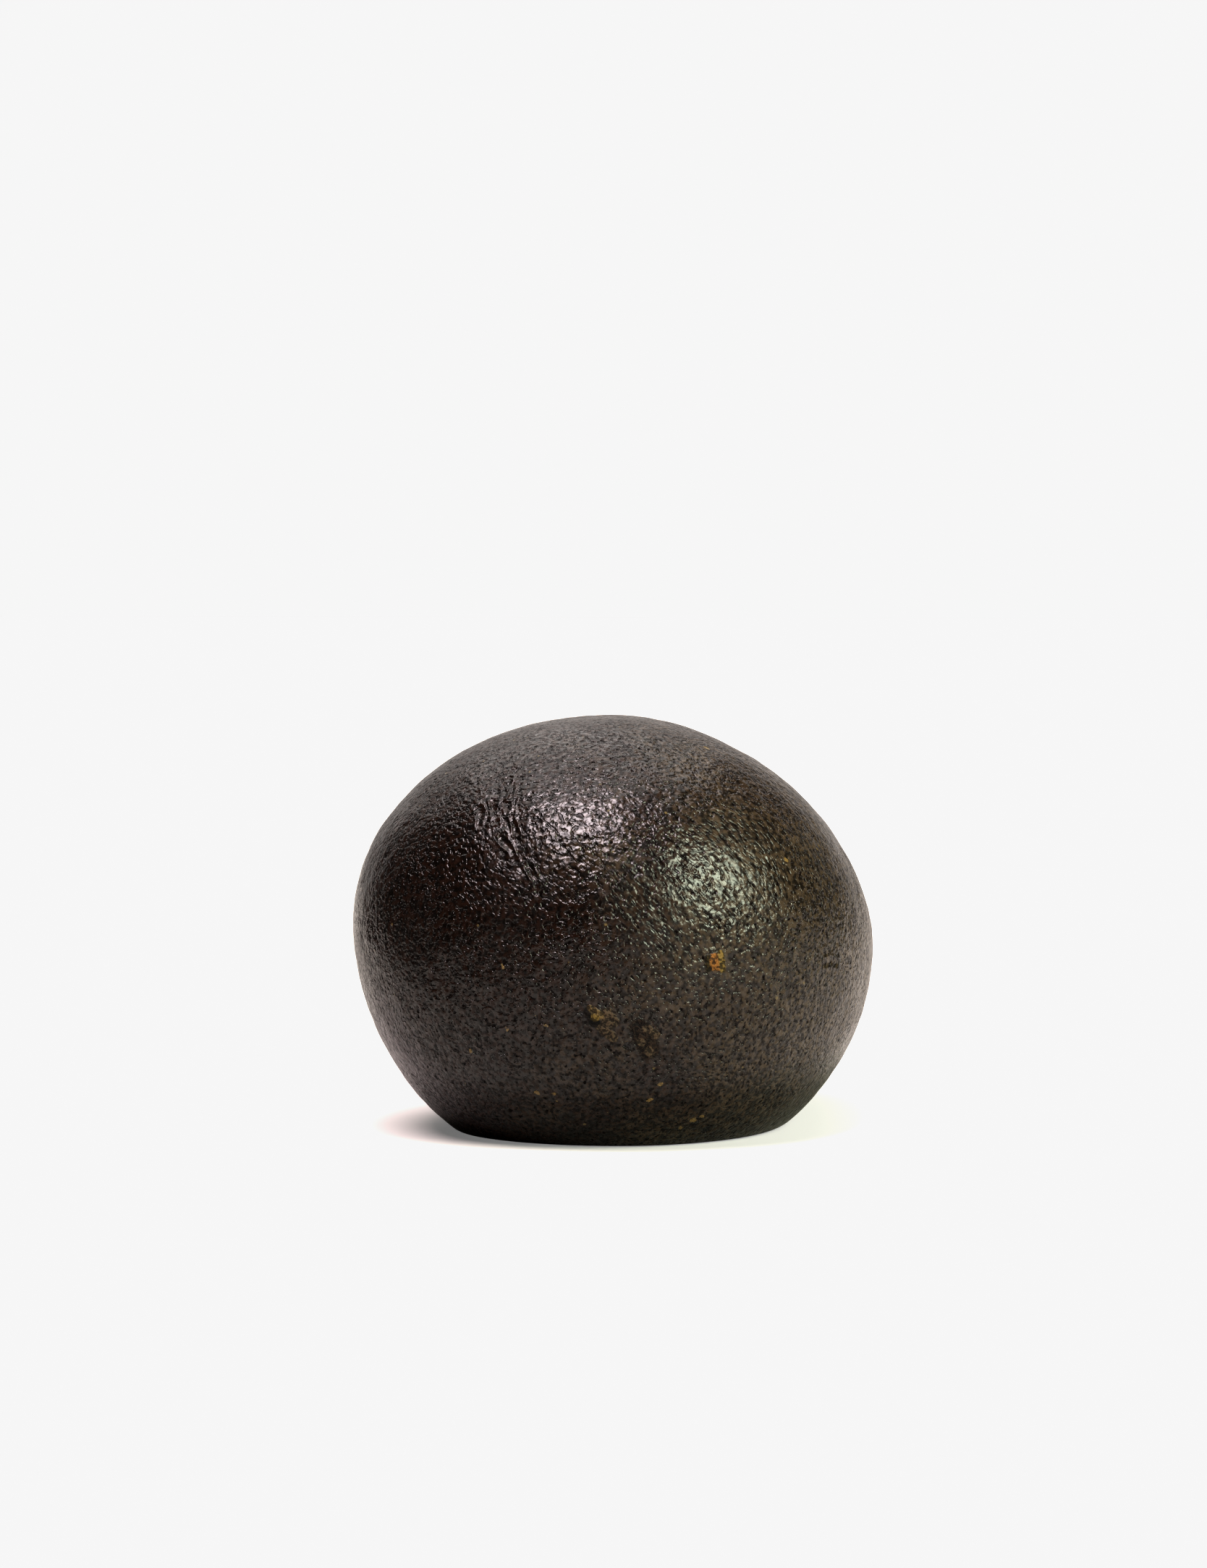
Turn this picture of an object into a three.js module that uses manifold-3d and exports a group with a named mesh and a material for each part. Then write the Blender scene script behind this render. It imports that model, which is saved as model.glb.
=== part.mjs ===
// A ripe avocado, picked and laid on its side on a level surface.
//
// Millimetres, +Z up. +Y runs along the fruit from its blossom end to its stem end. The origin is the
// middle of the footprint's box, on the surface that the fruit lies on.
//
// The fruit grew as one piece, so it is one solid. The woody stem button at the end of the neck is a
// piece of its own: it sits in a shallow socket and comes away under a thumb.

import * as THREE from 'three';
import { mergeVertices } from 'three/addons/utils/BufferGeometryUtils.js';
import Module from 'manifold-3d';

const wasm = await Module();
wasm.setup();

// Fruit
const LENGTH = 96;
const BELLY_RADIUS = 35.3;
const BELLY_STATION = 0.42;      // the belly's centre, as a share of the length from the blossom end
const RISE_ABOVE = 0.857;        // a section's height above the axis, over its half width
const DROP_BELOW = 0.959;        // and below it, before the underside settles
const NECK_DIP = 7;              // degrees that the neck points down, as it lies
const BELLY_HEIGHT = 25.6;       // of the belly's centre over the surface
const ROUND_STEPS = 88;
const PROFILE_STEPS = 46;

// Half of the fruit's long section: share of the length, share of the belly radius
const PROFILE = [
  [0, 0],
  [0.012, 0.25],
  [0.05, 0.52],
  [0.125, 0.76],
  [0.23, 0.93],
  [0.365, 1],
  [0.5, 0.955],
  [0.625, 0.835],
  [0.75, 0.67],
  [0.865, 0.525],
  [0.945, 0.4],
  [0.988, 0.24],
  [0.997, 0.15],
  [0.99, 0],
];

// Two broad, faint hollows where the flesh has gone soft. Each one's direction from the belly's
// centre is given in degrees: round from -Y towards +X, and up.
const HOLLOW_SPREAD = 26;
const HOLLOWS = [
  { round: 115, up: 30, depth: 1.0 },
  { round: -65, up: -30, depth: 1.1 },
];

// Stem button and the socket that it sits in, under the dimple at the end of the neck
const DIMPLE_Y = (PROFILE.at(-1)[0] - BELLY_STATION) * LENGTH;
const SOCKET_DEPTH = 1.6;        // below the bottom of the dimple
const CLEARANCE = 0.3;
const BUTTON_RADIUS = 3.9;
const BUTTON_FOOT_RADIUS = 3.2;
const BUTTON_HEIGHT = 4.6;
const COLLAR_START = 1;          // over the bottom of the dimple
const COLLAR_END = 1.9;
const RIM_RADIUS = 2.6;          // of the broken top's highest ring
const RIM_ROUNDING = 0.8;        // how far the rim's shoulder stands outside that ring
const CUP_RADIUS = 1.7;          // of the hollow in the broken top
const CUP_DEPTH = 0.8;
const BUTTON_STEPS = 32;

// A closed geometry as a solid: corners that meet are one vertex, and the triangles that shrink to
// a line at a pole are left out.
function solidOf(geometry) {
  geometry.deleteAttribute('normal');
  geometry.deleteAttribute('uv');
  const merged = mergeVertices(geometry, 1e-4);
  const corners = merged.index.array;
  const triangles = [];
  for (let i = 0; i < corners.length; i += 3) {
    const [a, b, c] = corners.slice(i, i + 3);
    if (a !== b && b !== c && c !== a) {
      triangles.push(a, b, c);
    }
  }
  return new wasm.Manifold(new wasm.Mesh({
    numProp: 3,
    vertProperties: merged.attributes.position.array,
    triVerts: new Uint32Array(triangles),
  }));
}

function meshOf(name, solid, material) {
  const { vertProperties, triVerts } = solid.getMesh();
  const geometry = new THREE.BufferGeometry();
  geometry.setAttribute('position', new THREE.BufferAttribute(vertProperties, 3));
  geometry.setIndex(new THREE.BufferAttribute(triVerts, 1));
  geometry.computeVertexNormals();
  const mesh = new THREE.Mesh(geometry, material);
  mesh.name = name;
  return mesh;
}

// The fruit's own axes are level and start at the belly's centre. This lays them down as the fruit
// lies: neck dipped, belly at its height.
function layDown(geometry) {
  geometry.rotateX(-THREE.MathUtils.degToRad(NECK_DIP));
  geometry.translate(0, 0, BELLY_HEIGHT);
  return geometry;
}

function directionOf({ round, up }) {
  const r = THREE.MathUtils.degToRad(round);
  const u = THREE.MathUtils.degToRad(up);
  return new THREE.Vector3(Math.sin(r) * Math.cos(u), -Math.cos(r) * Math.cos(u), Math.sin(u));
}

// Turned from its profile, flattened above and below, then pressed in at the hollows
function fruitGeometry() {
  const outline = new THREE.CatmullRomCurve3(
    PROFILE.map(([along, across]) => new THREE.Vector3(
      across * BELLY_RADIUS,
      (along - BELLY_STATION) * LENGTH,
      0,
    )),
    false,
    'centripetal',
  );
  const points = outline
    .getSpacedPoints(PROFILE_STEPS)
    .map((point) => new THREE.Vector2(Math.max(point.x, 0), point.y));
  points[0].x = 0;
  points[PROFILE_STEPS].x = 0;
  const geometry = new THREE.LatheGeometry(points, ROUND_STEPS);
  const spread = THREE.MathUtils.degToRad(HOLLOW_SPREAD);
  const hollows = HOLLOWS.map((h) => ({ direction: directionOf(h), depth: h.depth }));
  const position = geometry.attributes.position;
  const point = new THREE.Vector3();
  for (let i = 0; i < position.count; i += 1) {
    point.fromBufferAttribute(position, i);
    point.z *= point.z > 0 ? RISE_ABOVE : DROP_BELOW;
    const outward = point.clone().normalize();
    for (const { direction, depth } of hollows) {
      const away = outward.angleTo(direction) / spread;
      point.addScaledVector(outward, -depth * Math.exp(-0.5 * away * away));
    }
    position.setXYZ(i, point.x, point.y, point.z);
  }
  return geometry;
}

// A drilling along the fruit's axis, from clear outside the dimple to the bottom of the socket
function socketGeometry() {
  const overshoot = 3;
  const radius = BUTTON_FOOT_RADIUS + CLEARANCE;
  const geometry = new THREE.CylinderGeometry(radius, radius, SOCKET_DEPTH + overshoot, BUTTON_STEPS);
  geometry.translate(0, DIMPLE_Y + (overshoot - SOCKET_DEPTH) / 2, 0);
  return geometry;
}

// A short woody stub: a narrow foot in the socket, a collar over the skin and a cupped, broken top
function buttonGeometry() {
  const foot = SOCKET_DEPTH - CLEARANCE;
  const profile = [
    [0, 0],
    [BUTTON_FOOT_RADIUS, 0],
    [BUTTON_FOOT_RADIUS, foot + 2 * CLEARANCE],
    [BUTTON_RADIUS, foot + COLLAR_START],
    [BUTTON_RADIUS, foot + COLLAR_END],
    [RIM_RADIUS + RIM_ROUNDING, BUTTON_HEIGHT - CUP_DEPTH / 3],
    [RIM_RADIUS, BUTTON_HEIGHT],
    [CUP_RADIUS, BUTTON_HEIGHT - CUP_DEPTH / 2],
    [0, BUTTON_HEIGHT - CUP_DEPTH],
  ];
  const points = profile.map(([radius, height]) => new THREE.Vector2(radius, height));
  const geometry = new THREE.LatheGeometry(points, BUTTON_STEPS);
  geometry.translate(0, DIMPLE_Y - foot, 0);
  return geometry;
}

// The surface under the fruit, as a block whose top is at height 0: what would sink below it is
// pressed flat.
function groundGeometry() {
  const side = 2 * LENGTH;
  const geometry = new THREE.BoxGeometry(side, side, side);
  geometry.translate(0, 0, -side / 2);
  return geometry;
}

const skin = new THREE.MeshStandardMaterial({ color: 0x2b221d, roughness: 0.5, metalness: 0 });
const wood = new THREE.MeshStandardMaterial({ color: 0x6b4c30, roughness: 0.85, metalness: 0 });

const fruit = solidOf(layDown(fruitGeometry()))
  .subtract(solidOf(layDown(socketGeometry())))
  .subtract(solidOf(groundGeometry()));
const button = solidOf(layDown(buttonGeometry()));

const avocado = new THREE.Group();
avocado.add(meshOf('fruit', fruit, skin));
avocado.add(meshOf('stem_button', button, wood));

const extent = new THREE.Box3().setFromObject(avocado);
const middle = extent.getCenter(new THREE.Vector3());
avocado.position.set(-middle.x, -middle.y, 0);

export default avocado;
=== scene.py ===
import math

import bmesh
import bpy
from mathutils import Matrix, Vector, noise
from mathutils.bvhtree import BVHTree


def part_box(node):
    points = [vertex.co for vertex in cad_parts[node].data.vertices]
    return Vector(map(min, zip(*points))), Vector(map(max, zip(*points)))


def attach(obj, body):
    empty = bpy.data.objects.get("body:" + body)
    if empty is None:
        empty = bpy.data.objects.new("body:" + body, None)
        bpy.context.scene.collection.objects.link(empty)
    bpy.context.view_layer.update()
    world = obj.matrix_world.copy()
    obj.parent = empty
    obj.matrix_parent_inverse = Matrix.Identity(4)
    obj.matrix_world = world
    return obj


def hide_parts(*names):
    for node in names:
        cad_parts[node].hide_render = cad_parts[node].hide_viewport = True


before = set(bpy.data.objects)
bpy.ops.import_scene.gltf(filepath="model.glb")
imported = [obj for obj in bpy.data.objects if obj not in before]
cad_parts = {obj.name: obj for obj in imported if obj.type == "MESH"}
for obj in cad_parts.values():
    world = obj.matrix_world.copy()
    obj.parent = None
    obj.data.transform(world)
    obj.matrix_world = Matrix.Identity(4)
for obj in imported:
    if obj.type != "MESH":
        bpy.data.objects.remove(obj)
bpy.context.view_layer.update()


# ---------------------------------------------------------------------------------------------
# The fruit: rind, flesh and seed, grown as one piece. It is ripe and soft, so its underside has
# settled flat on the paper, and its pebbly rind has begun to shrivel into fine streaks round a
# short fold near the blossom end.
# ---------------------------------------------------------------------------------------------

MM = 0.001

# The heart is a point deep in the belly: its share of the fruit's width, length and height
HEART_SHARES = (0.5, 0.42, 0.45)
fruit_low, fruit_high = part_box("fruit")
fruit_size = fruit_high - fruit_low
heart = fruit_low + Vector([share * size for share, size in zip(HEART_SHARES, fruit_size)])


def direction(around, up):
    """The unit vector at an angle around from the blossom end towards +X, and up, in degrees."""
    a = math.radians(around)
    u = math.radians(up)
    return Vector((math.sin(a) * math.cos(u), -math.cos(a) * math.cos(u), math.sin(u)))


def ball_of_squares(name, squares_per_side):
    """A unit ball made of six even patches of squares, so that no pole pinches the rind."""
    ball = bmesh.new()
    bmesh.ops.create_cube(ball, size=2.0)
    cuts = squares_per_side - 1
    bmesh.ops.subdivide_edges(ball, edges=ball.edges[:], cuts=cuts, use_grid_fill=True)
    for corner in ball.verts:
        corner.co = Vector([math.tan(c * math.pi / 4) for c in corner.co]).normalized()
    for face in ball.faces:
        face.smooth = True
    mesh = bpy.data.meshes.new(name)
    ball.to_mesh(mesh)
    ball.free()
    return mesh


def place_in_scene(name, data):
    piece = bpy.data.objects.new(name, data)
    bpy.context.scene.collection.objects.link(piece)
    return piece


# The form: the ball drawn onto the design's surface from inside, with the flat facets and the
# hard rim of the settled spot relaxed into soft flesh.
RIND_SQUARES = 126
rind_mesh = ball_of_squares("avocado_rind", RIND_SQUARES)
design = BVHTree.FromObject(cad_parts["fruit"], bpy.context.evaluated_depsgraph_get())
for corner in rind_mesh.vertices:
    corner.co = design.ray_cast(heart, corner.co)[0]
fruit = place_in_scene("avocado_fruit", rind_mesh)
relax = fruit.modifiers.new("relax", "SMOOTH")
relax.factor = 0.5
relax.iterations = 24
relaxed = fruit.evaluated_get(bpy.context.evaluated_depsgraph_get())
relaxed_mesh = bpy.data.meshes.new_from_object(relaxed)
fruit.modifiers.clear()
fruit.data = relaxed_mesh


def on_rind(around, up):
    return design.ray_cast(heart, direction(around, up))[0]


# Marks on the rind, each placed by its direction from the heart, around and up, in degrees.
# The soft dent of the fold, point by point:
FOLD = [on_rind(-4, 37), on_rind(-3, 31), on_rind(2, 23), on_rind(9, 13)]
DENT_DEPTH = 0.22 * MM
DENT_WIDTH = 1.6 * MM

# Wrinkles in and beside the fold, and one on the right flank: from, to
WRINKLES = [
    (-4, 37, -2.5, 33),
    (-3.2, 32, -1.5, 29),
    (-6, 32, -4, 27),
    (0, 29, 2, 25),
    (-1, 24, 3, 19),
    (-9, 30, -7, 26),
    (6, 18, 9, 13),
    (72, -2, 78, -2.5),
    (-5.5, 38, -4.5, 34),
]

# Corky scabs: from, to, radius in millimetres, colour
TAN = (0.085, 0.058, 0.026)
YELLOW = (0.100, 0.068, 0.020)
ORANGE = (0.135, 0.062, 0.016)
OLIVE = (0.02, 0.014, 0.004)
GREY_TAN = (0.050, 0.035, 0.022)
RED_BROWN = (0.015, 0.009, 0.006)
BLACK_BROWN = (0.006, 0.004, 0.003)
CORK = [
    (41.4, 0.6, 41.6, -1.2, 0.5, OLIVE),
    (42.8, 0.6, 43.0, -0.8, 0.7, ORANGE),
    (43.9, 1.6, 44.5, -1.6, 0.4, YELLOW),
    (22.0, -10.0, 22.6, -11.0, 1.0, GREY_TAN),
    (20.6, -12.0, 23.0, -14.4, 0.6, GREY_TAN),
    (18.7, -9.3, 19.6, -11.2, 0.7, BLACK_BROWN),
    (18.8, -8.4, 21.0, -9.9, 0.4, TAN),
    (19.6, -10.2, 19.8, -10.4, 0.45, YELLOW),
    (28.2, -12.6, 30.2, -17.2, 1.25, RED_BROWN),
    (29.5, -12.6, 31.5, -14.0, 0.5, GREY_TAN),
    (30.0, -17.0, 30.6, -17.8, 0.5, GREY_TAN),
    (28.4, -15.2, 28.6, -15.4, 0.5, GREY_TAN),
]
CORK_HEIGHT = 0.12 * MM
CORK_REACH = 3 * MM
cork_middles = [0.5 * (on_rind(*mark[0:2]) + on_rind(*mark[2:4])) for mark in CORK]

# Tan flecks, and small punctures: around, up, radius in millimetres
FLECK_TAN = (0.14, 0.095, 0.035)
FLECKS = [
    (59, 54, 0.35),
    (63, 20, 0.4),
    (2, -1, 0.25),
    (2, -13, 0.28),
    (-7, -18, 0.25),
    (10, -12, 0.3),
    (6, -27, 0.28),
    (10, -27, 0.25),
    (33, -25, 0.3),
    (31, -29, 0.35),
    (43, -36, 0.4),
    (45, -35, 0.3),
    (40, -38, 0.3),
]
PUNCTURE_BLACK = (0.002, 0.001, 0.001)
PUNCTURE_DEPTH = 0.25
PUNCTURES = [
    (-6, -18, 0.4),
    (0, -18, 0.4),
    (-5, -15, 0.3),
    (48, -40, 0.6),
    (-2, -19, 0.25),
    (17, -9.5, 0.3),
    (27.8, -11.2, 0.5),
    (26.5, -13.6, 0.35),
    (25.9, -16, 0.4),
    (29.2, -15.9, 0.3),
]


# The relief that is deep enough to feel: swells, the dent of the fold and the scabs. It fades
# out towards the settled spot. Each swell has a height and a pitch in millimetres, and a seed.
SWELLS = [(0.30, 17, 1.7), (0.12, 6, 5.1), (0.07, 1.9, 9.4)]
SETTLED_RIM = 3 * MM


def swell_at(point, pitch, seed):
    """Smooth noise from -1 to 1 whose bumps stand about one pitch apart."""
    return noise.noise(point / pitch + Vector((seed, -seed, 2.3 * seed)))


def bell(distance, width):
    """1 in the middle, falling smoothly towards 0 beyond the width."""
    return math.exp(-0.5 * (distance / width) ** 2)


def distance_to_fold(point):
    distances = []
    for start, end in zip(FOLD, FOLD[1:]):
        along = end - start
        share = max(0.0, min(1.0, (point - start).dot(along) / along.length_squared))
        distances.append((point - start - share * along).length)
    return min(distances)


def relief_at(point):
    """Height of the rind over its smooth form."""
    height = 0.0
    for swell_height, pitch, seed in SWELLS:
        height += swell_height * MM * swell_at(point, pitch * MM, seed)
    height -= DENT_DEPTH * bell(distance_to_fold(point), DENT_WIDTH)
    for mark, middle in zip(CORK, cork_middles):
        radius = mark[4] * MM
        away = (point - middle).length
        if away < CORK_REACH:
            height += CORK_HEIGHT * bell(away, radius)
    return height


normals = [corner.normal.copy() for corner in fruit.data.vertices]
for corner, normal in zip(fruit.data.vertices, normals):
    point = corner.co.copy()
    freedom = min(1.0, max(0.0, point.z / SETTLED_RIM))
    corner.co = point + normal * relief_at(point) * freedom
    corner.co.z = max(corner.co.z, 0.0)
fruit.data.update()


class Nodes:
    """Adds shader nodes to a node tree and joins them up. Lengths are in millimetres."""

    def __init__(self, tree):
        self.tree = tree

    def add(self, kind, inputs=(), **settings):
        node = self.tree.nodes.new(kind)
        for key, value in settings.items():
            setattr(node, key, value)
        for key, value in dict(inputs).items():
            self.feed(node.inputs[key], value)
        return node

    def feed(self, socket, value):
        if isinstance(value, bpy.types.NodeSocket):
            self.tree.links.new(value, socket)
        else:
            socket.default_value = value

    def math(self, operation, *values):
        return self.add("ShaderNodeMath", enumerate(values), operation=operation).outputs[0]

    def vector(self, operation, *values, **inputs):
        inputs = {**dict(enumerate(values)), **inputs}
        return self.add("ShaderNodeVectorMath", inputs, operation=operation).outputs["Vector"]

    def measure(self, operation, *values):
        """The dot product of two vectors, or the distance between two places."""
        inputs = enumerate(values)
        return self.add("ShaderNodeVectorMath", inputs, operation=operation).outputs["Value"]

    def place(self):
        """The point on the piece."""
        spot = self.add("ShaderNodeTexCoord").outputs["Object"]
        return self.vector("SCALE", spot, Scale=1 / MM)

    def noise(self, place, pitch, detail=0.0, roughness=0.5, output="Fac"):
        """Noise from about 0.2 to 0.8, with bumps about one pitch apart."""
        inputs = {"Vector": place, "Scale": 1 / pitch, "Detail": detail, "Roughness": roughness}
        return self.add("ShaderNodeTexNoise", inputs).outputs[output]

    def cells(self, place, pitch):
        inputs = {"Vector": place, "Scale": 1 / pitch, "Randomness": 1.0}
        return self.add("ShaderNodeTexVoronoi", inputs).outputs

    def bent(self, place, pitch, reach):
        """The place, led astray smoothly by up to about half the reach."""
        stray = self.noise(place, pitch, output="Color")
        stray = self.vector("SUBTRACT", stray, (0.5, 0.5, 0.5))
        return self.vector("ADD", place, self.vector("SCALE", stray, Scale=reach))

    def drawn_out(self, place, along, pull):
        """The place, squeezed along one direction, so that a noise on it is drawn out that way."""
        lengthwise = self.measure("DOT_PRODUCT", place, along)
        squeeze = self.vector("SCALE", tuple(along), Scale=self.math("MULTIPLY", lengthwise, -pull))
        return self.vector("ADD", place, squeeze)

    def step(self, value, low, high, to_low=0.0, to_high=1.0):
        """Runs smoothly from one level to the other as the value passes from low to high."""
        inputs = {
            "Value": value, "From Min": low, "From Max": high, "To Min": to_low, "To Max": to_high,
        }
        return self.add("ShaderNodeMapRange", inputs, interpolation_type="SMOOTHSTEP").outputs[0]

    def away_from(self, place, spot):
        return self.measure("DISTANCE", place, spot / MM)

    def away_from_line(self, place, start, end):
        line = (end - start) / MM
        reached = self.vector("SUBTRACT", place, start / MM)
        along = self.measure("DOT_PRODUCT", reached, line / line.length_squared)
        share = self.add("ShaderNodeClamp", {"Value": along}).outputs[0]
        return self.measure("DISTANCE", reached, self.vector("SCALE", tuple(line), Scale=share))

    def blend(self, share, first, second):
        inputs = {0: share, 2: first, 3: second}
        return self.add("ShaderNodeMix", inputs, data_type="FLOAT").outputs[0]

    def tint(self, share, first, second):
        """Mixes two colours, each a socket or a red, green and blue."""
        first, second = [(*c, 1) if isinstance(c, tuple) else c for c in (first, second)]
        inputs = {0: share, 6: first, 7: second}
        return self.add("ShaderNodeMix", inputs, data_type="RGBA").outputs[2]

    def shade(self, colour, value):
        """The colour, brightened or darkened by the value."""
        inputs = {"Color": colour, "Value": value}
        return self.add("ShaderNodeHueSaturation", inputs).outputs[0]

    def bump(self, height):
        inputs = {"Height": height, "Distance": MM, "Strength": 1.0}
        return self.add("ShaderNodeBump", inputs).outputs[0]


def new_material(name):
    """A material, the nodes to build it with and its shader's inputs."""
    material = bpy.data.materials.new(name)
    material.use_nodes = True
    nodes = Nodes(material.node_tree)
    return material, nodes, material.node_tree.nodes["Principled BSDF"].inputs


# The skin: nearly black purple-brown, paler and olive towards the right flank, partly its own olive
# and partly painted light on the side the greenish softbox lights, with a faint natural wax. Its
# height map is the fine grain: flat-topped pebbles with pits between them.
# Pitches and heights are in millimetres.
PEBBLE_PITCH = 0.92
CREASE_PITCH = 0.52
STREAK_PITCH = 0.56
STREAKS_ALONG = Vector((0.58, 0.27, -0.77)).normalized()
GRAIN_HEIGHT = 0.165
ROLL_HEIGHT = 0.18
TOOTH_HEIGHT = 0.03
WRINKLE_HEIGHT = 0.13
CRUST_HEIGHT = 0.07
LENTICEL_PITCH = 2.1
LENTICEL_CHANCE = 0.50
PURPLE_BROWN = (0.0060, 0.0024, 0.0013)
OLIVE_BROWN = (0.0225, 0.0160, 0.0095)
PAINTED_PIT_SHADE = (0.0030, 0.0014, 0.0010)
LENTICEL_TAN = (0.13, 0.095, 0.040)


def skin_material():
    material, skin, shader = new_material("avocado_skin")
    place = skin.place()
    bent = skin.bent(place, 6, 1.6)

    # Smooth pebbles, with small pits at the corners and creases between them
    pits = skin.step(skin.cells(bent, PEBBLE_PITCH)["Distance"], 0.05, 0.38)
    creases = skin.noise(bent, CREASE_PITCH, detail=1.0)

    # The creases are drawn out into streaks where the rind has shrivelled: round the fold and
    # on the shoulder beside it
    streaks = skin.noise(skin.drawn_out(bent, STREAKS_ALONG, 0.65), STREAK_PITCH, detail=1.0)
    shoulder = skin.step(skin.away_from(place, on_rind(40, 18)), 10, 20, 0.8, 0.0)
    folded = skin.step(skin.away_from(place, on_rind(3, 22)), 8, 14, 1.0, 0.0)
    shrivelled = skin.math("MAXIMUM", shoulder, folded)
    creases = skin.step(skin.blend(shrivelled, creases, streaks), 0.32, 0.51)
    grain = skin.math("MULTIPLY_ADD", pits, 0.45, skin.math("MULTIPLY", creases, 0.55))

    # Height: the grain, a slight roll from pebble to pebble and a fine tooth
    roll = skin.noise(place, 0.9, detail=1.0)
    tooth = skin.noise(place, 0.34, detail=1.0)
    height = skin.math("MULTIPLY", tooth, TOOTH_HEIGHT)
    height = skin.math("MULTIPLY_ADD", grain, GRAIN_HEIGHT, height)
    height = skin.math("MULTIPLY_ADD", roll, ROLL_HEIGHT, height)

    # Wrinkles: wavering, narrow valleys with a raised lip
    wavy = skin.bent(place, 2.5, 1.3)
    for around, up, to_around, to_up in WRINKLES:
        away = skin.away_from_line(wavy, on_rind(around, up), on_rind(to_around, to_up))
        lip = skin.step(away, 0.75, 1.2, WRINKLE_HEIGHT, 0.0)
        lip = skin.math("MULTIPLY", skin.step(away, 0.4, 0.75), lip)
        valley = skin.step(away, 0.1, 0.55, -WRINKLE_HEIGHT, 0.0)
        height = skin.math("ADD", height, skin.math("ADD", lip, valley))

    # Colour: patches of purple-brown and olive, mottled finely, and darkened down in the pits and
    # creases as painted shade
    patches = skin.noise(place, 12, detail=2.0, roughness=0.6)
    # Paler olive towards the right flank: partly the skin's own olive, partly painted light on the
    # lit side
    lit_flank_share = skin.measure("DOT_PRODUCT", place, direction(100, 0) / 60)
    olive_and_lit_flank = skin.step(skin.math("ADD", patches, lit_flank_share), 0.40, 1.05)
    base = skin.tint(olive_and_lit_flank, PURPLE_BROWN, OLIVE_BROWN)
    mottle = skin.step(skin.noise(place, 0.75, detail=1.0), 0.36, 0.66, 0.42, 2.3)
    base = skin.shade(base, mottle)
    # Painted shade: the pits and creases are darkened towards a near-black brown
    base = skin.tint(skin.step(grain, 0.30, 0.90), PAINTED_PIT_SHADE, base)

    # Lenticels: tiny tan dots of many sizes, in about half of the cells
    cells = skin.cells(place, LENTICEL_PITCH)
    chance = skin.add("ShaderNodeSeparateColor", {0: cells["Color"]}).outputs[0]
    size = skin.step(chance, LENTICEL_CHANCE, 1.0, 0.03, 0.11)
    dot = skin.step(skin.math("DIVIDE", cells["Distance"], size), 0.7, 1.2, 0.7, 0.0)
    dot = skin.math("MULTIPLY", dot, skin.math("GREATER_THAN", chance, LENTICEL_CHANCE))
    base = skin.tint(dot, base, LENTICEL_TAN)

    # Flecks and punctures, with ragged edges
    ragged = skin.noise(place, 0.55, detail=2.0, roughness=0.6)
    for around, up, radius in FLECKS:
        edge = skin.math("ADD", skin.away_from(place, on_rind(around, up)), ragged)
        fleck = skin.step(edge, 0.5 + 0.8 * radius, 0.5 + 1.2 * radius, 1.0, 0.0)
        base = skin.tint(fleck, base, FLECK_TAN)
    for around, up, radius in PUNCTURES:
        edge = skin.math("ADD", skin.away_from(place, on_rind(around, up)), ragged)
        hole = skin.step(edge, 0.5 + 0.7 * radius, 0.5 + 1.3 * radius, 1.0, 0.0)
        base = skin.tint(hole, base, PUNCTURE_BLACK)
        height = skin.math("SUBTRACT", height, skin.math("MULTIPLY", hole, PUNCTURE_DEPTH))

    # Corky scabs, with ragged edges and a mottled crust
    crust = skin.step(skin.noise(place, 0.45, detail=1.0), 0.40, 0.60, 0.35, 1.5)
    cork = 0.0
    for around, up, to_around, to_up, radius, colour in CORK:
        away = skin.away_from_line(place, on_rind(around, up), on_rind(to_around, to_up))
        edge = skin.math("ADD", away, skin.math("MULTIPLY", ragged, radius))
        scab = skin.step(edge, 1.35 * radius, 1.85 * radius, 1.0, 0.0)
        base = skin.tint(scab, base, skin.shade((*colour, 1), crust))
        cork = skin.math("MAXIMUM", cork, scab)
    crust_height = skin.math("MULTIPLY", cork, skin.math("MULTIPLY", crust, CRUST_HEIGHT))
    height = skin.math("ADD", height, crust_height)

    # Gloss: the wax lies unevenly and never covers the cork. As painted shade the gloss is cut back
    # in the pits and creases, and in a band low down near the paper.
    rough = skin.step(skin.noise(place, 9, detail=2.0), 0.35, 0.65, 0.23, 0.31)
    wax = skin.step(skin.noise(place, 0.62, detail=1.0), 0.36, 0.62, 0.62, 1.32)
    # Painted shade: a less glossy band up to about 10 mm above the paper
    above_paper = skin.add("ShaderNodeSeparateXYZ", {0: place}).outputs["Z"]
    painted_shade_near_paper = skin.step(above_paper, 5.5, 10.5, 0.40, 1.0)
    # Painted shade: less gloss in the pits and creases
    wax_and_painted_shade = skin.math("MULTIPLY", wax, skin.step(grain, 0.15, 0.85, 0.06, 0.56))
    wax_and_painted_shade = skin.math("MULTIPLY", painted_shade_near_paper, wax_and_painted_shade)

    skin.feed(shader["Base Color"], base)
    skin.feed(shader["Specular IOR Level"], skin.blend(cork, wax_and_painted_shade, 0.24))
    skin.feed(shader["Roughness"], skin.blend(cork, rough, 0.75))
    skin.feed(shader["Normal"], skin.bump(height))
    skin.feed(shader["IOR"], 1.41)
    return material


fruit.data.materials.clear()
fruit.data.materials.append(skin_material())
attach(fruit, "root")
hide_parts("fruit")


# ---------------------------------------------------------------------------------------------
# The stem button: the short, woody stub left in the fruit when it was clipped from the tree.
# It is dry and brown, with a cupped and cracked end.
# ---------------------------------------------------------------------------------------------

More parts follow.
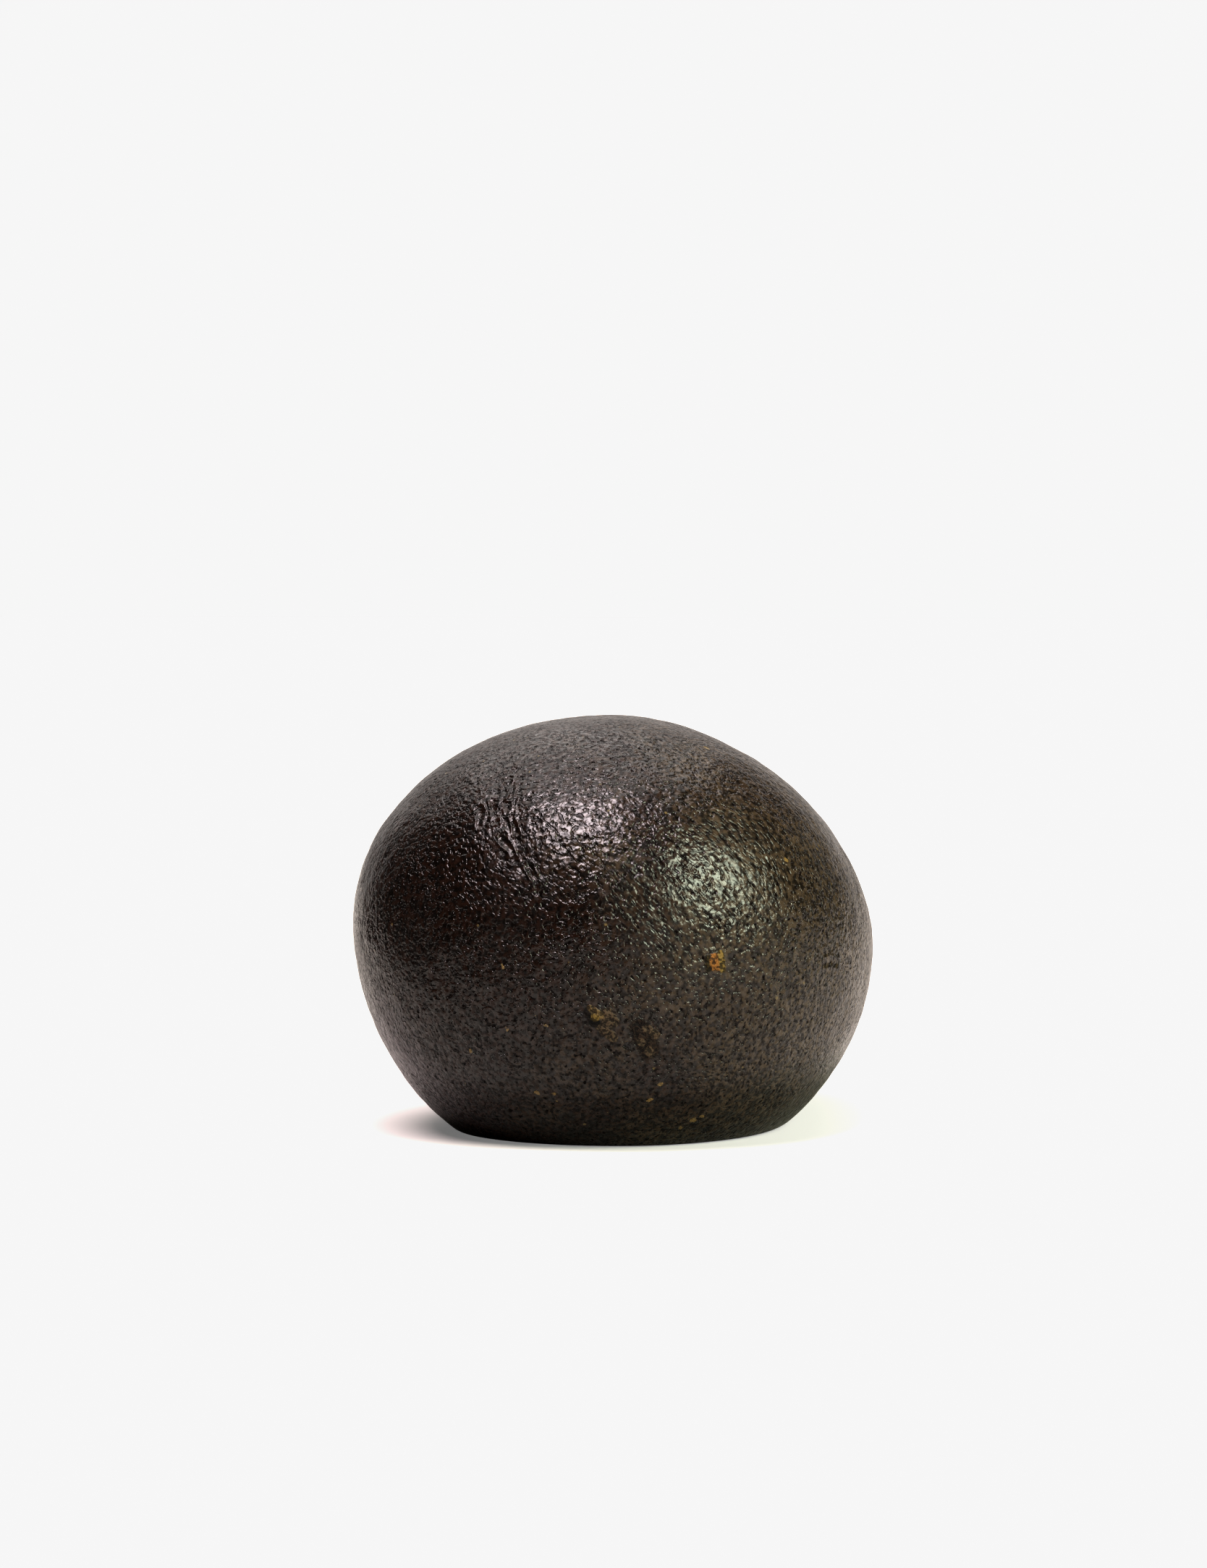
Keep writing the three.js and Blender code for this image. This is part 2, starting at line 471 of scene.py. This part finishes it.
STUB_SQUARES = 64
STUB_DIP = 7
STUB_RADIUS = 3.0 * MM
FIBRE_HEIGHT = 0.16 * MM
LUMP_HEIGHT = 0.30 * MM
RIM_HEIGHT = 0.22 * MM
CUP_DEPTH = 0.55 * MM
SPLIT_DEPTH = 0.45 * MM

stub_low, stub_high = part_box("stem_button")
stub_middle = 0.5 * (stub_low + stub_high)
stub_axis = direction(180, -STUB_DIP)
stub_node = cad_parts["stem_button"]
stub_design = BVHTree.FromObject(stub_node, bpy.context.evaluated_depsgraph_get())

# The form: fibres along the sides, and an end that is cupped, split from the middle and ragged
# round its edge
stub_mesh = ball_of_squares("stem_stub", STUB_SQUARES)
for corner in stub_mesh.vertices:
    outward = corner.co.copy()
    point = stub_design.ray_cast(stub_middle, outward)[0]
    along = (point - stub_middle).dot(stub_axis)
    across = point - stub_middle - along * stub_axis
    endways = max(0.0, outward.dot(stub_axis) - 0.35) / 0.65
    sideways = 1.0 - abs(outward.dot(stub_axis)) ** 2
    fibres = swell_at(across + 0.12 * along * stub_axis, 0.55 * MM, 3.3)
    lumps = swell_at(point, 2.2 * MM, 7.7)
    point += outward * (FIBRE_HEIGHT * fibres * sideways + LUMP_HEIGHT * lumps)
    if endways > 0:
        split = abs(swell_at(across.normalized() * MM, 0.55 * MM, 11.9))
        reach = across.length / STUB_RADIUS
        crack = math.exp(-((split / 0.10) ** 2)) * min(1.0, reach)
        ragged_rim = RIM_HEIGHT * swell_at(point, 0.8 * MM, 4.4)
        cup = max(0.0, 1.0 - reach ** 2)
        rise = ragged_rim - CUP_DEPTH * cup - SPLIT_DEPTH * crack
        point += stub_axis * rise * min(1.0, 3 * endways)
    corner.co = point
stub = place_in_scene("stem_stub", stub_mesh)

# The wood: dry, grey-brown fibres, darker in the splits and paler on the broken end
FIBRE_DARK = (0.030, 0.018, 0.011)
FIBRE_PALE = (0.150, 0.100, 0.058)
BLOTCH_BROWN = (0.045, 0.028, 0.018)
BROKEN_DARK = (0.060, 0.038, 0.022)
BROKEN_PALE = (0.260, 0.190, 0.115)


def stub_material():
    material, wood, shader = new_material("stem_wood")
    place = wood.place()
    fibres = wood.noise(wood.drawn_out(place, stub_axis, 0.85), 0.30, detail=3.0, roughness=0.6)
    blotches = wood.noise(place, 1.8, detail=2.0, roughness=0.6)
    bark = wood.tint(wood.step(fibres, 0.36, 0.64), FIBRE_DARK, FIBRE_PALE)
    bark = wood.tint(wood.step(blotches, 0.42, 0.62), BLOTCH_BROWN, bark)
    grit = wood.noise(place, 0.35, detail=3.0, roughness=0.7)
    pale = wood.tint(wood.step(grit, 0.38, 0.60), BROKEN_DARK, BROKEN_PALE)
    lengthwise = wood.measure("DOT_PRODUCT", place, stub_axis)
    uneven = wood.math("ADD", lengthwise, wood.noise(place, 0.6, detail=2.0))
    middle = stub_middle.dot(stub_axis) / MM
    broken = wood.step(uneven, middle + 2.1, middle + 2.9)
    height = wood.math("ADD", wood.math("MULTIPLY", fibres, 0.30), wood.math("MULTIPLY", grit, 0.18))
    wood.feed(shader["Base Color"], wood.tint(broken, bark, pale))
    wood.feed(shader["Roughness"], wood.step(grit, 0.3, 0.7, 0.72, 0.92))
    wood.feed(shader["Normal"], wood.bump(height))
    return material


stub_mesh.materials.append(stub_material())
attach(stub, "root")
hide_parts("stem_button")


# ---------------------------------------------------------------------------------------------
# The paper: one wide sheet of white paper under the fruit. It gives off a little light of its
# own to the camera only, more at the right, which stands in for over-exposed white.
# ---------------------------------------------------------------------------------------------

CAMERA_AROUND = 25.0
PAPER_REACH = 20.0
rightwards = direction(CAMERA_AROUND + 90, 0)

paper_corners = [Vector((x, y, 0)) * PAPER_REACH for x, y in ((-1, -1), (1, -1), (1, 1), (-1, 1))]
paper_mesh = bpy.data.meshes.new("paper")
paper_mesh.from_pydata(paper_corners, [], [(0, 1, 2, 3)])
paper = place_in_scene("paper", paper_mesh)
material, sheet, shader = new_material("paper_white")
across = sheet.measure("DOT_PRODUCT", sheet.place(), rightwards)
lift = sheet.step(across, -55, 50, 0.14, 0.62)
seen = sheet.add("ShaderNodeLightPath").outputs["Is Camera Ray"]
sheet.feed(shader["Base Color"], (0.50, 0.475, 0.455, 1))
sheet.feed(shader["Roughness"], 0.9)
sheet.feed(shader["Specular IOR Level"], 0.0)
sheet.feed(shader["Emission Color"], (1, 1, 1, 1))
sheet.feed(shader["Emission Strength"], sheet.math("MULTIPLY", seen, lift))
paper_mesh.materials.append(material)


# ---------------------------------------------------------------------------------------------
# The black card: a sheet of black card that stands on the paper at the left, out of view. The
# left flank of the fruit mirrors it, so that flank stays dark.
# ---------------------------------------------------------------------------------------------

CARD_AROUND = CAMERA_AROUND - 78
CARD_DISTANCE = 165 * MM
CARD_HALF_WIDTH = 260 * MM
CARD_HEIGHT = 150 * MM

card_middle = direction(CARD_AROUND, 0) * CARD_DISTANCE
card_side = direction(CARD_AROUND + 90, 0) * CARD_HALF_WIDTH
card_top = Vector((0, 0, CARD_HEIGHT))

card_corners = [
    card_middle - card_side,
    card_middle + card_side,
    card_middle + card_side + card_top,
    card_middle - card_side + card_top,
]
card_mesh = bpy.data.meshes.new("black_card")
card_mesh.from_pydata(card_corners, [], [(0, 1, 2, 3)])
card = place_in_scene("black_card", card_mesh)
material, surface, shader = new_material("card_black")
surface.feed(shader["Base Color"], (0.01, 0.01, 0.01, 1))
surface.feed(shader["Roughness"], 0.9)
card_mesh.materials.append(material)
card.visible_camera = False
card.visible_shadow = False


# ---------------------------------------------------------------------------------------------
# The lights: a large violet-white softbox overhead at the left, a smaller greenish one at the
# right and a wide one high behind. The room is dark, with a white wall behind on the left and
# a faint glow at the right.
# ---------------------------------------------------------------------------------------------


def softbox(name, around, up, strength, spread, colour):
    """A far, soft light, at an angle around from the camera towards its right, and up, in degrees."""
    light = bpy.data.lights.new(name, "SUN")
    light.energy = strength
    light.angle = math.radians(spread)
    light.color = colour
    lamp = place_in_scene(name, light)
    lamp.rotation_mode = "QUATERNION"
    lamp.rotation_quaternion = direction(CAMERA_AROUND + around, up).to_track_quat("Z", "Y")


softbox("overhead_softbox", -35, 66, 6.0, 32, (1.0, 0.88, 0.91))
softbox("side_softbox", 53, 30, 5.2, 34, (0.92, 1.0, 0.80))
softbox("back_softbox", -168, 64, 2.0, 60, (1.0, 0.95, 0.92))

world = bpy.data.worlds.new("studio")
world.use_nodes = True
world.node_tree.nodes.clear()
bpy.context.scene.world = world
room = Nodes(world.node_tree)
way = room.add("ShaderNodeTexCoord").outputs["Generated"]
wall = room.measure("DOT_PRODUCT", way, direction(CAMERA_AROUND - 165, 0))
wall = room.step(wall, 0.55, 0.85)
glow = room.measure("DOT_PRODUCT", way, direction(CAMERA_AROUND + 55, 15))
glow = room.step(glow, 0.4, 1.0, 0.0, 0.22)
level = room.math("ADD", wall, glow)
walls = {"Color": (1, 0.93, 0.89, 1), "Strength": level}
walls = room.add("ShaderNodeBackground", walls).outputs[0]
backdrop = {"Color": (1, 1, 1, 1), "Strength": 1.0}
backdrop = room.add("ShaderNodeBackground", backdrop).outputs[0]
seen = room.add("ShaderNodeLightPath").outputs["Is Camera Ray"]
shown = room.add("ShaderNodeMixShader", {0: seen, 1: walls, 2: backdrop}).outputs[0]
room.add("ShaderNodeOutputWorld", {"Surface": shown})


# ---------------------------------------------------------------------------------------------
# The camera: a long lens almost level with the fruit, looking past the blossom end. White is
# exposed just past its limit and is then shown as a very pale grey.
# ---------------------------------------------------------------------------------------------

CAMERA_UP = 4.0
CAMERA_DISTANCE = 0.608
MIDDLE_HEIGHT = 29 * MM
AIM_LEFT = 6.8 * MM
AIM_UP = 17.5 * MM
WHITE_SHOWN = 0.938

lens = bpy.data.cameras.new("camera")
lens.lens = 100
lens.sensor_width = 36
camera = place_in_scene("camera", lens)
bpy.context.scene.camera = camera
middle = Vector((0, 0, MIDDLE_HEIGHT))
back = direction(CAMERA_AROUND, CAMERA_UP)
camera.location = middle + back * CAMERA_DISTANCE
upwards = back.cross(rightwards)
aim = middle - rightwards * AIM_LEFT + upwards * AIM_UP
camera.rotation_mode = "QUATERNION"
camera.rotation_quaternion = (camera.location - aim).to_track_quat("Z", "Y")

tones = bpy.context.scene.view_settings
tones.view_transform = "Standard"
tones.gamma = 0.8
tones.use_curve_mapping = True
tones.curve_mapping.extend = "HORIZONTAL"
tones.curve_mapping.curves[3].points[1].location = (1.0, WHITE_SHOWN)
tones.curve_mapping.update()
